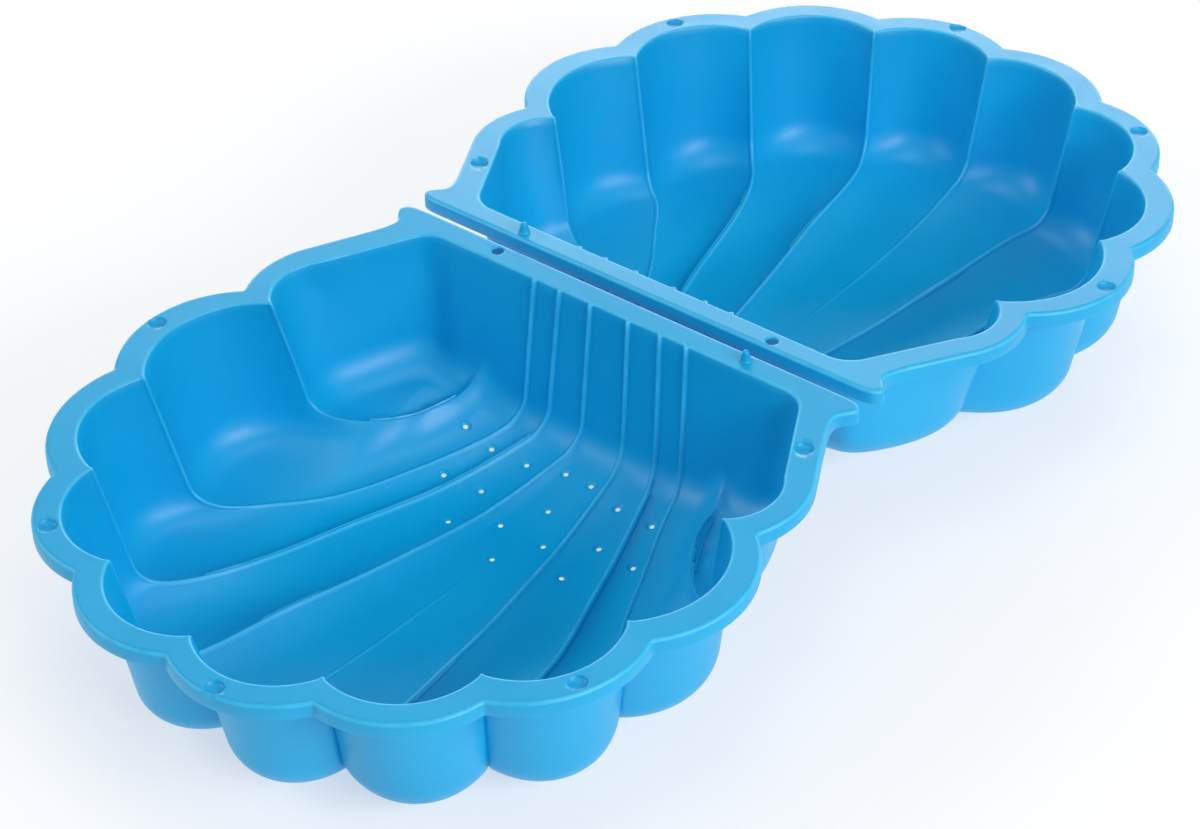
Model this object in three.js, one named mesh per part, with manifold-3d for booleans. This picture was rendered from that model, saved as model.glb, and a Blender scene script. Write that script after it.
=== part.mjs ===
// Sandbox with cover: two scallop-shell trays of the same moulding, one turned half a turn about
// the vertical. Millimetres, +Z up. The fold line runs along X at rim height. The base lies towards
// -Y, the cover towards +Y.
// Inside a tray a place is [across, away]: across the tray along X, and away from the fold line.
// The tables give the half of a tray with across > 0, from the corner round to the tip.
import * as THREE from 'three'
import { mergeVertices } from 'three/addons/utils/BufferGeometryUtils.js'
import Module from 'manifold-3d'

// ---- driving dimensions ----
const RIM_HEIGHT = 230 // rim plane above the ground, at the fold line
const RIM_SLOPE = 0.0409 // fall of the rim plane for each millimetre away from the fold line
const WALL = 2.5 // sheet thickness
const FOOT_RELIEF = 2.1 // where the underside would hang less than this above the ground, it is flat on it
const EDGE_AWAY = 10.6 // straight outer edge, so the open trays stand 21 mm apart
const HINGE_AWAY = 42 // inner edge of the straight flange
const EDGE_ROUND = 5 // bevel of the rim's outer edge
const LIP_DROP = 19 // height of the down-turned lip
const RIDGE_FILLET = 38 // floor fillet of the curved wall where a ridge comes down
const HOLLOW_FILLET = 50 // the same between ridges
const CORNER_FILLET = 58 // the same in the corner lobes
const HINGE_FILLET = 44 // floor fillet of the straight wall

// Ridges run from each inner cusp down the wall, over the floor and up the straight wall.
const INNER_CUSPS = [[336, 260.5], [357.4, 450.3], [286.7, 602.6], [157.1, 702.8], [0, 738.4]]
const OUTER_CUSPS = [[382.6, 259.1], [398.8, 459.2], [317.3, 633.6], [176, 738.6], [0, 776.8]]
// Their floor line in five rows. Each place: across, away, height of the hollow floor, ridge height above it.
const FLOOR_ROWS = [
  [[277, 233, 47, 18], [300, 416, 18, 15], [244, 554, 16, 17], [132, 642, 18, 18], [0, 673, 25, 16]],
  [[240, 197, 38, 17], [262, 365, 9, 11], [208, 485, 8, 17], [105, 490, 7, 19], [0, 560, 7, 7]],
  [[216, 163, 34, 19], [214, 294, 4, 9], [176, 352, 2.5, 8], [83, 362, 2.5, 12], [0, 440, 2.5, 2]],
  [[202, 138, 38, 19], [175, 210, 8, 9], [137, 237, 3, 8], [60, 238, 2.5, 9], [0, 240, 2.5, 0]],
  [[191, 98, 44, 17], [129, 96, 27, 6], [92, 96, 26, 6], [37, 96, 25, 6], [0, 96, 25, 0]]
]
const RIB_TOPS = [182, 114, 75.4, 28.3, 0]
const BACK_EDGE = [250, 125, 80, 29, 0]
const RIB_HEIGHTS = [0, 4, 4, 4, 0] // how far each ridge stands out from the straight wall
const SCOOP_REACH = 0.5 // a floor ridge dies out half way across each lobe beside it
const RIB_REACH = 1 / 3 // a rib on the straight wall dies out sooner

// Lobes between cusps: how far each arc bows out of its chord.
const INNER_BOW = [49.4, 43, 43, 39.8]
const OUTER_BOW = [43.9, 37, 34.7, 34.7]
const FOOT_BOW = [45, 38, 38, 38]
const LOBE_STEPS = 6

// Corner lobe, beside each ear.
const CORNER_CENTRE = [253, 84]
const CORNER_RADIUS = 42
const CORNER_TURN = THREE.MathUtils.degToRad(60.7)
const SIDE_END = [347, 166]
const CORNER_BOW = 21
const CORNER_OUTER_BOW = 12
const CORNER_STEPS = 8
const CORNER_FOOT = [238, 108, 58]
const CORNER_FOOT_BOW = 28
const CORNER_FOOT_SHARES = [0, 0.08, 0.16, 0.33, 0.5, 0.63, 0.76, 0.88]
const EAR_TIP = [345.5, 23]
const EAR_SIDE = [340, 34]
const EAR_NOTCH = [323, 47.5]
const EAR_BACK = [338, 13]
const EAR_ROOT = [322, EDGE_AWAY]
const OUTER_SIDE_END = [384, 158]

// Locating peg and peg hole, one each on every straight flange.
const PEG_ACROSS = 186.7
const PEG_AWAY = 24.6
const PEG_PROFILE = [[0, 0], [7.5, 0], [7.5, 1.2], [6, 2.2], [4, 12], [2.4, 13.8], [0, 14.2]]
const PEG_SIDES = 16
const PEG_HOLE_RADIUS = 7.5
const GAP = 0.3

// Drain holes through the base's floor, each in the hollow between two ridges.
const DRAIN_RADIUS = 3
const DRAIN_MIDDLE = 25
const DRAIN_PAIRS = [[19, 108], [71, 120], [123.5, 122], [90, 180], [146, 186], [32.5, 212], [87, 244]]
const LONE_DRAINS = [[168, 118], [0, 165], [0, 267]]

const BLUE = 0x1f9bdc

// ---- plan helpers ----
function mix(a, b, share) {
  return a.map((value, index) => value + (b[index] - value) * share)
}

function between(table, lobe, share) {
  return table[lobe] + (table[lobe + 1] - table[lobe]) * share
}

// A place on the circular arc from a to b, bowed out to the right of the way from a to b.
function arcPlace(a, b, bow, share) {
  const length = Math.hypot(b[0] - a[0], b[1] - a[1])
  const halfAngle = 2 * Math.atan((2 * bow) / length)
  const radius = length / (2 * Math.sin(halfAngle))
  const angle = halfAngle * (2 * share - 1)
  const along = radius * Math.sin(angle) + length / 2
  const out = radius * (Math.cos(angle) - Math.cos(halfAngle))
  const way = [(b[0] - a[0]) / length, (b[1] - a[1]) / length]
  return [a[0] + way[0] * along + way[1] * out, a[1] + way[1] * along - way[0] * out]
}

function cornerPlace(share) {
  const angle = CORNER_TURN * share
  const across = CORNER_CENTRE[0] + CORNER_RADIUS * Math.sin(angle)
  return [across, CORNER_CENTRE[1] - CORNER_RADIUS * Math.cos(angle)]
}

function rimHeight(away) {
  return RIM_HEIGHT - RIM_SLOPE * away
}

// Moves each corner of a closed outline sideways: to the outside when the distance is positive.
function offsetLoop(loop, distance) {
  return loop.map((here, index) => {
    const before = loop[(index + loop.length - 1) % loop.length]
    const after = loop[(index + 1) % loop.length]
    const first = new THREE.Vector2(here[1] - before[1], before[0] - here[0]).normalize()
    const second = new THREE.Vector2(after[1] - here[1], here[0] - after[0]).normalize()
    const middle = first.clone().add(second).normalize()
    const reach = distance / Math.max(0.6, middle.dot(first))
    return [here[0] + middle.x * reach, here[1] + middle.y * reach]
  })
}

// ---- columns: each one starts on the curved rim, crosses the tray and ends on the straight rim ----
// Share of a ridge's height at a place across a lobe: 1 on the ridge, 0 in the flat hollow.
function ridgeShare(fromRidge, reach) {
  return Math.max(0, 1 - fromRidge / reach) ** 2
}

function ridged(heights, share, reach) {
  return heights[0] * ridgeShare(share, reach) + heights[1] * ridgeShare(1 - share, reach)
}

// Place on one of the floor rows as across, away, height.
function floorPlace(row, lobe, share) {
  const [a, b] = [FLOOR_ROWS[row][lobe], FLOOR_ROWS[row][lobe + 1]]
  const [across, away, hollow] = mix(a, b, share)
  const height = hollow + ridged([a[3], b[3]], share, SCOOP_REACH)
  const plan = row === 0 ? arcPlace(a, b, FOOT_BOW[lobe], share) : [across, away]
  return [...plan, height]
}

function lobeColumn(lobe, share) {
  const rib = ridged(RIB_HEIGHTS.slice(lobe, lobe + 2), share, RIB_REACH)
  const floor = FLOOR_ROWS.map((row, index) => floorPlace(index, lobe, share))
  floor[4][1] += rib
  return {
    start: arcPlace(INNER_CUSPS[lobe], INNER_CUSPS[lobe + 1], INNER_BOW[lobe], share),
    outer: arcPlace(OUTER_CUSPS[lobe], OUTER_CUSPS[lobe + 1], OUTER_BOW[lobe], share),
    floor,
    fillet: HOLLOW_FILLET + (RIDGE_FILLET - HOLLOW_FILLET) * ridged([1, 1], share, SCOOP_REACH),
    end: [between(RIB_TOPS, lobe, share), HINGE_AWAY + rib * 0.6],
    outerEnd: [between(BACK_EDGE, lobe, share), EDGE_AWAY]
  }
}

function cornerColumn(index) {
  const share = index / CORNER_STEPS
  const spread = Math.max(0, (index - 2) / (CORNER_STEPS - 2))
  const ridge = ridgeShare(1 - share, SCOOP_REACH)
  const floor = FLOOR_ROWS.map((row) => {
    const [across, away, hollow, crest] = row[0]
    return mix(CORNER_FOOT, [across, away, hollow + crest * ridge], share)
  })
  const footShare = CORNER_FOOT_SHARES[index]
  const foot = arcPlace(CORNER_FOOT, FLOOR_ROWS[0][0], CORNER_FOOT_BOW, footShare)
  floor[0] = [...foot, mix(CORNER_FOOT, FLOOR_ROWS[0][0], footShare)[2] + FLOOR_ROWS[0][0][3] * ridge]
  const column = {
    start: arcPlace(SIDE_END, INNER_CUSPS[0], CORNER_BOW, (index - 4) / 4),
    outer: arcPlace(OUTER_SIDE_END, OUTER_CUSPS[0], CORNER_OUTER_BOW, (index - 4) / 4),
    floor,
    fillet: CORNER_FILLET + (RIDGE_FILLET - CORNER_FILLET) * ridge,
    end: mix([CORNER_CENTRE[0], HINGE_AWAY], [RIB_TOPS[0], HINGE_AWAY], spread),
    outerEnd: mix(EAR_ROOT, [BACK_EDGE[0], EDGE_AWAY], spread)
  }
  if (index === 0) {
    column.start = cornerPlace(0.5)
    column.end = column.start
    column.outer = EAR_TIP
    column.outerEnd = EAR_TIP
  }
  if (index === 1) {
    column.start = cornerPlace(0.75)
    column.end = cornerPlace(0.25)
    column.outer = EAR_SIDE
    column.outerEnd = EAR_BACK
  }
  if (index === 2) {
    column.start = cornerPlace(1)
    column.outer = EAR_NOTCH
  }
  if (index === 3) {
    column.start = mix(cornerPlace(1), SIDE_END, 0.5)
    column.outer = mix(EAR_NOTCH, OUTER_SIDE_END, 0.5)
  }
  return column
}

function mirrored(column) {
  const flip = (place) => [-place[0], ...place.slice(1)]
  return {
    start: flip(column.start),
    outer: flip(column.outer),
    floor: column.floor.map(flip),
    fillet: column.fillet,
    end: flip(column.end),
    outerEnd: flip(column.outerEnd)
  }
}

function allColumns() {
  const half = []
  for (let index = 0; index < CORNER_STEPS; index++) {
    half.push(cornerColumn(index))
  }
  for (let lobe = 0; lobe < INNER_BOW.length; lobe++) {
    for (let step = 0; step < LOBE_STEPS; step++) {
      half.push(lobeColumn(lobe, step / LOBE_STEPS))
    }
  }
  const tip = lobeColumn(INNER_BOW.length - 1, 1)
  return [...half, tip, ...half.map(mirrored).reverse()]
}

// ---- the tray's inside, one list of places for each column, from the curved rim to the straight rim ----
// From the rim: a drafted straight wall, then a fillet that ends level on the floor.
function wallPlaces(rim, foot, fillet) {
  const reach = Math.hypot(foot[0] - rim[0], foot[1] - rim[1])
  const drop = rimHeight(rim[1]) - foot[2]
  const radius = Math.min(fillet, 0.85 * reach)
  const draft = Math.acos(radius / Math.hypot(reach, drop - radius)) - Math.atan2(drop - radius, reach)
  const places = [new THREE.Vector3(rim[0], rim[1], rimHeight(rim[1]))]
  for (let step = 0; step <= 3; step++) {
    const angle = draft + (Math.PI / 2 - draft) * (step / 3)
    const inward = (reach - radius * Math.cos(angle)) / reach
    const plan = mix(rim, foot, inward)
    places.push(new THREE.Vector3(plan[0], plan[1], foot[2] + radius - radius * Math.sin(angle)))
  }
  return places
}

function columnPlaces(column) {
  const curved = wallPlaces(column.start, column.floor[0], column.fillet)
  const straight = wallPlaces(column.end, column.floor[4], HINGE_FILLET).reverse()
  const across = column.floor.slice(1, 4).map((place) => new THREE.Vector3(...place))
  return [...curved, ...across, ...straight]
}

// ---- one tray as a closed sheet, lying from the fold line towards +Y ----
class Sheet {
  constructor() {
    this.places = []
    this.faces = []
  }

  add(place) {
    this.places.push(place)
    return this.places.length - 1
  }

  quad(a, b, c, d) {
    this.triangle(a, b, c)
    this.triangle(a, c, d)
  }

  triangle(a, b, c) {
    if (a !== b && b !== c && c !== a) {
      this.faces.push([a, b, c])
    }
  }
}

// Adds the grid's places. The two outermost columns fold back on themselves at the corners, so their
// halves are shared.
function addGrid(sheet, columns) {
  return columns.map((places, index) => {
    if (index > 0 && index < columns.length - 1) {
      return places.map((place) => sheet.add(place))
    }
    const down = places.slice(0, 5).map((place) => sheet.add(place))
    return [...down, down[4], down[4], down[4], ...down.slice().reverse()]
  })
}

// Normals of the inside, facing the cavity, and how far a place must move for the sheet to be WALL thick.
function outsidePlaces(sheet, grid) {
  const sums = sheet.places.map(() => new THREE.Vector3())
  const touching = sheet.places.map(() => [])
  for (const [a, b, c] of sheet.faces) {
    const normal = new THREE.Vector3()
    new THREE.Triangle(sheet.places[a], sheet.places[b], sheet.places[c]).getNormal(normal)
    for (const corner of [a, b, c]) {
      sums[corner].add(normal)
      touching[corner].push(normal)
    }
  }
  const moved = sheet.places.map((place, index) => {
    const normal = sums[index].normalize()
    const least = Math.min(...touching[index].map((one) => one.dot(normal)))
    const out = place.clone().addScaledVector(normal, -WALL / Math.max(0.7, least))
    out.z = out.z < FOOT_RELIEF ? 0 : out.z
    return out
  })
  return grid.map((column) => column.map((index) => moved[index]))
}

function trayGeometry() {
  const columns = allColumns()
  const last = columns.length - 1
  const sheet = new Sheet()
  const inside = addGrid(sheet, columns.map(columnPlaces))
  const rows = inside[0].length
  for (let column = 0; column < last; column++) {
    for (let row = 0; row < rows - 1; row++) {
      const [a, b] = [inside[column], inside[column + 1]]
      sheet.quad(a[row], b[row], b[row + 1], a[row + 1])
    }
  }
  const moved = outsidePlaces(sheet, inside)

  // Once round the rim: along the curved side, then back along the straight side.
  const round = [
    ...columns.map((column, index) => ({ index, row: 0, inner: column.start, outer: column.outer })),
    ...columns.slice(1, last).map((column, index) => (
      { index: index + 1, row: rows - 1, inner: column.end, outer: column.outerEnd })).reverse()
  ]
  const innerLoop = round.map((one) => one.inner)
  const outerLoop = round.map((one) => one.outer)
  const wallTop = offsetLoop(innerLoop, WALL)
  wallTop.forEach((plan, index) => {
    const { index: column, row } = round[index]
    moved[column][row] = new THREE.Vector3(plan[0], plan[1], rimHeight(plan[1]) - WALL)
  })
  const outside = addGrid(sheet, moved)
  for (let column = 0; column < last; column++) {
    for (let row = 0; row < rows - 1; row++) {
      const [a, b] = [outside[column], outside[column + 1]]
      sheet.quad(a[row], a[row + 1], b[row + 1], b[row])
    }
  }

  const ring = (loop, below) => loop.map((plan) => (
    sheet.add(new THREE.Vector3(plan[0], plan[1], rimHeight(plan[1]) - below))))
  const rings = [
    round.map((one) => inside[one.index][one.row]),
    ring(offsetLoop(outerLoop, -EDGE_ROUND), 0),
    ring(outerLoop, EDGE_ROUND),
    ring(outerLoop, LIP_DROP),
    ring(offsetLoop(outerLoop, -WALL), LIP_DROP),
    ring(offsetLoop(outerLoop, -EDGE_ROUND), EDGE_ROUND),
    round.map((one) => outside[one.index][one.row])
  ]
  for (let step = 0; step < rings.length - 1; step++) {
    for (let here = 0; here < round.length; here++) {
      const next = (here + 1) % round.length
      sheet.quad(rings[step][here], rings[step + 1][here], rings[step + 1][next], rings[step][next])
    }
  }
  const geometry = new THREE.BufferGeometry()
  geometry.setAttribute('position', new THREE.Float32BufferAttribute(
    sheet.places.flatMap((place) => place.toArray()), 3))
  geometry.setIndex(sheet.faces.flat())
  return geometry
}

// ---- booleans ----
const wasm = await Module()
wasm.setup()

function solidFrom(geometry) {
  const bare = new THREE.BufferGeometry()
  bare.setAttribute('position', geometry.getAttribute('position'))
  bare.setIndex(geometry.index)
  const merged = mergeVertices(bare, 1e-4)
  return new wasm.Manifold(new wasm.Mesh({
    numProp: 3,
    vertProperties: merged.getAttribute('position').array,
    triVerts: new Uint32Array(merged.index.array)
  }))
}

function geometryFrom(solid) {
  const mesh = solid.getMesh()
  const geometry = new THREE.BufferGeometry()
  geometry.setAttribute('position', new THREE.Float32BufferAttribute(mesh.vertProperties, 3))
  geometry.setIndex(Array.from(mesh.triVerts))
  return geometry
}

function drill(across, away, middle, radius, sides, tilt) {
  const cutter = new THREE.CylinderGeometry(radius, radius, 60, sides).rotateX(Math.PI / 2)
  return solidFrom(cutter.rotateX(tilt).translate(across, away, middle))
}

const RIM_TILT = -Math.atan(RIM_SLOPE)
const withPegHole = solidFrom(trayGeometry()).subtract(
  drill(PEG_ACROSS, PEG_AWAY, rimHeight(PEG_AWAY), PEG_HOLE_RADIUS, 16, RIM_TILT))

function drained(solid) {
  let left = solid
  const mirrorImages = DRAIN_PAIRS.map(([across, away]) => [-across, away])
  for (const [across, away] of [...DRAIN_PAIRS, ...mirrorImages, ...LONE_DRAINS]) {
    left = left.subtract(drill(across, away, DRAIN_MIDDLE, DRAIN_RADIUS, 8, 0))
  }
  return left
}

function pegGeometry() {
  const profile = PEG_PROFILE.map(([radius, up]) => new THREE.Vector2(radius, up + GAP))
  const peg = new THREE.LatheGeometry(profile, PEG_SIDES).rotateX(Math.PI / 2 + RIM_TILT)
  return mergeVertices(peg.translate(-PEG_ACROSS, PEG_AWAY, rimHeight(PEG_AWAY)), 1e-4)
}

// ---- assembly ----
const group = new THREE.Group()
group.name = 'sandbox_with_cover'

function addPart(name, geometry, roughness) {
  const material = new THREE.MeshStandardMaterial({ color: BLUE, roughness, metalness: 0 })
  const mesh = new THREE.Mesh(geometry, material)
  mesh.name = name
  mesh.geometry.computeVertexNormals()
  group.add(mesh)
}

// The base is the cover's moulding turned half a turn about the vertical, with its drain holes drilled.
addPart('base_tray', geometryFrom(drained(withPegHole)).rotateZ(Math.PI), 0.42)
addPart('cover_tray', geometryFrom(withPegHole), 0.42)
addPart('base_peg', pegGeometry().rotateZ(Math.PI), 0.42)
addPart('cover_peg', pegGeometry(), 0.42)

export default group
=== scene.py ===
import math

import bmesh
import bpy
import numpy as np
from mathutils import Matrix, Vector


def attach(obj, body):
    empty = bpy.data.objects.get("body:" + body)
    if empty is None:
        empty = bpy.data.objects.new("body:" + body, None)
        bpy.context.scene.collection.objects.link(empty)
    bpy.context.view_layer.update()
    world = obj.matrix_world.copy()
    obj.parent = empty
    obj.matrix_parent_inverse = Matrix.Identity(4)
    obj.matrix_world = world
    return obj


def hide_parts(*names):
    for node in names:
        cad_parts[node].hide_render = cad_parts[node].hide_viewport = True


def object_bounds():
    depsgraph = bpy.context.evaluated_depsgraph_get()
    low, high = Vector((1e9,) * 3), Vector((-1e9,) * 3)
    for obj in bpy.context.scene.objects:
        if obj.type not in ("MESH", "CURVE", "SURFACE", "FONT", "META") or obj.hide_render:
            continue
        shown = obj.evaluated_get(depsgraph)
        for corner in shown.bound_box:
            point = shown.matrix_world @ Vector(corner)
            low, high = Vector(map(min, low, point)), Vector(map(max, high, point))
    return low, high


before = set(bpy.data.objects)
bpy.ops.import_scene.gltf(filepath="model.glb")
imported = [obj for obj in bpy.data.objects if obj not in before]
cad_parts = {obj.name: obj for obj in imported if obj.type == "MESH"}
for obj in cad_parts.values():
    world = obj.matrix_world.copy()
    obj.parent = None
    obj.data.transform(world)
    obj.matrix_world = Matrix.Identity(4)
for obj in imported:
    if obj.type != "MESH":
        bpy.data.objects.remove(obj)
cad_box = [list(corner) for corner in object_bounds()]

# ---------------------------------------------------------------- camera
# Metres, in the part's own frame. The fold line is the X axis at rim height.
AZIMUTH, ELEVATION, ROLL = math.radians(40.39), math.radians(36.33), math.radians(-1.756)
EYE = (2.1811, -2.6283, 2.5680)
SENSOR_WIDTH, LENS = 36, 105.933  # millimetres
back = Vector((
    math.sin(AZIMUTH) * math.cos(ELEVATION),
    -math.cos(AZIMUTH) * math.cos(ELEVATION),
    math.sin(ELEVATION),
))
level = Vector((math.cos(AZIMUTH), math.sin(AZIMUTH), 0))
upward = back.cross(level)
right = level * math.cos(ROLL) + upward * math.sin(ROLL)
up = upward * math.cos(ROLL) - level * math.sin(ROLL)
camera_data = bpy.data.cameras.new("camera")
camera_data.sensor_width = SENSOR_WIDTH
camera_data.lens = LENS
camera_data.clip_end = 100
camera = bpy.data.objects.new("camera", camera_data)
bpy.context.scene.collection.objects.link(camera)
camera.matrix_world = Matrix((
    (right.x, up.x, back.x, EYE[0]),
    (right.y, up.y, back.y, EYE[1]),
    (right.z, up.z, back.z, EYE[2]),
    (0, 0, 0, 1),
))
bpy.context.scene.camera = camera

# ---------------------------------------------------------------- the moulding, in millimetres
# The same driving dimensions as the CAD trays: across the tray, and away from the fold line.
RIM_HEIGHT, RIM_SLOPE, WALL = 230.0, 0.0409, 2.5
EDGE_AWAY, HINGE_AWAY = 10.6, 42.0
RIDGE_FILLET, HOLLOW_FILLET, CORNER_FILLET, HINGE_FILLET = 38.0, 50.0, 58.0, 44.0
INNER_CUSPS = [[336, 260.5], [357.4, 450.3], [286.7, 602.6], [157.1, 702.8], [0, 738.4]]
OUTER_CUSPS = [[382.6, 259.1], [398.8, 459.2], [317.3, 633.6], [176, 738.6], [0, 776.8]]
# The ridges' floor line in five rows, the outermost ridge first. Each place: across, away, height of
# the hollow floor, ridge height above it.
FLOOR_ROWS = [
    [[277, 233, 47, 18], [300, 416, 18, 15], [244, 554, 16, 17], [132, 642, 18, 18], [0, 673, 25, 16]],
    [[240, 197, 38, 17], [262, 365, 9, 11], [208, 485, 8, 17], [105, 490, 7, 19], [0, 560, 7, 7]],
    [[216, 163, 34, 19], [214, 294, 4, 9], [176, 352, 2.5, 8], [83, 362, 2.5, 12], [0, 440, 2.5, 2]],
    [[202, 138, 38, 19], [175, 210, 8, 9], [137, 237, 3, 8], [60, 238, 2.5, 9], [0, 240, 2.5, 0]],
    [[191, 98, 44, 17], [129, 96, 27, 6], [92, 96, 26, 6], [37, 96, 25, 6], [0, 96, 25, 0]],
]
# Where each ridge ends at the straight rim: across, on the inner edge and on the outer edge.
RIB_TOPS = [182, 114, 75.4, 28.3, 0]
BACK_EDGE = [250, 125, 80, 29, 0]
# How far each lobe's arc bows out: the inner rim, the outer rim and the foot of the wall.
INNER_BOW = [49.4, 43, 43, 39.8]
OUTER_BOW = [43.9, 37, 34.7, 34.7]
FOOT_BOW = [45, 38, 38, 38]
# The corner lobe: the inner rim's round corner, its straight side and arc, its floor, and the ear outside.
CORNER_CENTRE, CORNER_RADIUS, CORNER_TURN = [253, 84], 42.0, math.radians(60.7)
SIDE_END, OUTER_SIDE_END, CORNER_BOW, CORNER_OUTER_BOW = [347, 166], [384, 158], 21.0, 12.0
CORNER_FOOT, CORNER_FOOT_BOW = [238, 108, 58], 28.0
CORNER_FOOT_SHARES = [0, 0.08, 0.16, 0.33, 0.5, 0.63, 0.76, 0.88, 1]
EAR = [[345.5, 23], [340, 34], [323, 47.5]]
EAR_BACK, EAR_ROOT = [338, 13], [322, EDGE_AWAY]
EDGE_ROUND, LIP_DROP = 5.0, 19.0
PEG_ACROSS, PEG_AWAY = 186.7, 24.6
# Drain holes in the base's floor: those that have a twin across the middle, and those that haven't.
DRAIN_PAIRS = [[19, 108], [71, 120], [123.5, 122], [90, 180], [146, 186], [32.5, 212], [87, 244]]
LONE_DRAINS = [[168, 118], [0, 165], [0, 267]]
# Dimples pressed in the rim of each tray, at the same places on both mouldings.
RIM_DIMPLES = [[420, 367], [254, 702], [-78, 782], [-376, 555], [-336, 114]]
MM = 0.001  # metres in a millimetre

# Rings round the rim: on its rounded inner edge, its top, its rounded outer edge, the lip's lower edge,
# and underneath on the round and on the flat.
INNER_RINGS, TOP_RINGS, EDGE_RINGS, LIP_RINGS, UNDER_EDGE_RINGS, UNDER_RINGS = 5, 17, 7, 5, 5, 7
# How strongly a pale highlight is painted on the rim's rings: on its rounded inner edge, then on its rounded
# outer edge.
RIM_HIGHLIGHT = {
    0: 0.9, 1: 1.0, 2: 1.0, 3: 1.0, 4: 0.9, 5: 0.3,
    22: 0.4, 23: 0.8, 24: 1.0, 25: 1.0, 26: 0.8, 27: 0.4,
}

# How finely each stretch of a column is divided, from the curved rim to the straight rim. The floor has
# a far half and, finer, a near half with the ribs' feet.
WALL_STEPS, FILLET_STEPS, FLOOR_FAR_STEPS, FLOOR_NEAR_STEPS = 12, 16, 28, 124
LOBE_COLUMNS, CORNER_COLUMNS = 50, 60
LOBE_GATHER, CORNER_GATHER = 0.72, 0.3  # how much the columns gather beside the ridges
# A corner lobe has CORNER_STATIONS spaces between its named places. Its first CORNER_TURN_STATIONS lie on
# the round of the corner itself, and its straight side ends at CORNER_SIDE_STATION.
CORNER_STATIONS, CORNER_TURN_STATIONS, CORNER_SIDE_STATION = 8, 2, 4

# The floor meets a wall's fillet a little steeper than it comes to it, within limits.
FOOT_STEEPER, FOOT_SLOPES = 1.2, (-0.05, 0.5)
WALL_PULL = 0.8  # how strongly the floor line keeps to a wall's direction at its foot
FILLET_LIMIT = 0.85  # a fillet's radius, at most this share of the wall's reach inward

# The narrow bead that stands on each ridge, the outermost ridge first: its height at the curved rim,
# along the floor's five rows from the far one to the one by the hinge wall, at the top of the hinge
# wall's fillet, and at the straight rim.
BEAD_HALF_WIDTH = 5.0
BEAD_FULL_HIGHLIGHT = 2.4  # a bead this high gets the palest painted highlight
BEAD_FLOOR_SHARES = (0.33, 0.60, 0.84)  # where the middle three rows lie along the floor line
BEAD_HEIGHTS = [
    [1.4, 1.2, 0.7, 0.5, 0.4, 0.3, 0.0, 0.0],
    [1.4, 2.2, 2.1, 1.7, 1.8, 2.4, 3.6, 4.2],
    [1.4, 2.2, 2.4, 2.4, 2.4, 2.8, 3.6, 4.2],
    [1.4, 2.2, 2.4, 2.4, 2.4, 2.8, 3.6, 4.2],
    [1.4, 2.0, 1.6, 0.5, 0.0, 0.0, 0.0, 0.0],
]

# The rim's section, millimetres, and how much its outlines are rounded.
INNER_ROUND = 2.6  # radius of the rim's inner edge
UNDER_ROUND, UNDER_SETBACK = 2.5, 0.4  # where the rim's underside turns down into the wall
LIP_ROUND, LIP_MIDDLE = 1.2, 12  # the lip's lower edge, and a ring half way down it
EAR_SHARE, EAR_ROUND_TURNS = 0.34, 14  # the ear takes this share of the corner's columns
CUSP_ROUND_TURNS, INNER_NORMAL_TURNS = 2, 10

# Softening by repeated averaging: how many turns, and how far it reaches.
RIDGE_ROUND_TURNS = {"rim": 1, "floor": 8, "hinge_wall": 4}
RIDGE_ROUND_SPREAD = 2.2  # how soon beside a ridge the rounding is at its full
CORNER_SOFT_REACH, CORNER_SOFT_TURNS = 0.94, 320  # share of the corner's columns
FIRST_RIDGE_SOFT_COLUMNS, FIRST_RIDGE_SOFT_TURNS = 12, 26
# Where the outermost ridges melt: how far from the fold line, how far round it, and how softly.
MELTED_ENDS = ((86, 60, 2.5), (56, 46, 8))
BATCH = 400  # places averaged at a time


def at(place):
    return np.array(place, float)


def mix(a, b, share):
    """The place a share of the way from a to b."""
    return at(a) + (at(b) - at(a)) * share


def arc_place(a, b, bow, share):
    """A place on the arc from a to b, bowed out to the right of the way from a to b."""
    a, b = at(a)[:2], at(b)[:2]
    length = np.hypot(*(b - a))
    half = 2 * math.atan(2 * bow / length)
    radius = length / (2 * math.sin(half))
    angle = half * (2 * share - 1)
    way = (b - a) / length
    side = np.array([way[1], -way[0]])
    along = radius * math.sin(angle) + length / 2
    return a + way * along + side * radius * (math.cos(angle) - math.cos(half))


def corner_place(share):
    """A place on the inner rim's round corner, from the hinge wall's end at 0 to the side's start at 1."""
    angle = CORNER_TURN * share
    across = CORNER_CENTRE[0] + CORNER_RADIUS * math.sin(angle)
    return at([across, CORNER_CENTRE[1] - CORNER_RADIUS * math.cos(angle)])


def rim_height(away):
    return RIM_HEIGHT - RIM_SLOPE * away


def ridge_share(from_ridge):
    """How much of a ridge's height is left: it dies out half way across each lobe beside it."""
    return max(0.0, 1 - 2 * from_ridge) ** 2


def crest_height(row, ridge):
    """A ridge's height above the hollow floor, without the bead that is raised on it later."""
    return max(0.0, FLOOR_ROWS[row][ridge][3] - BEAD_HEIGHTS[ridge][row + 1])


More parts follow.
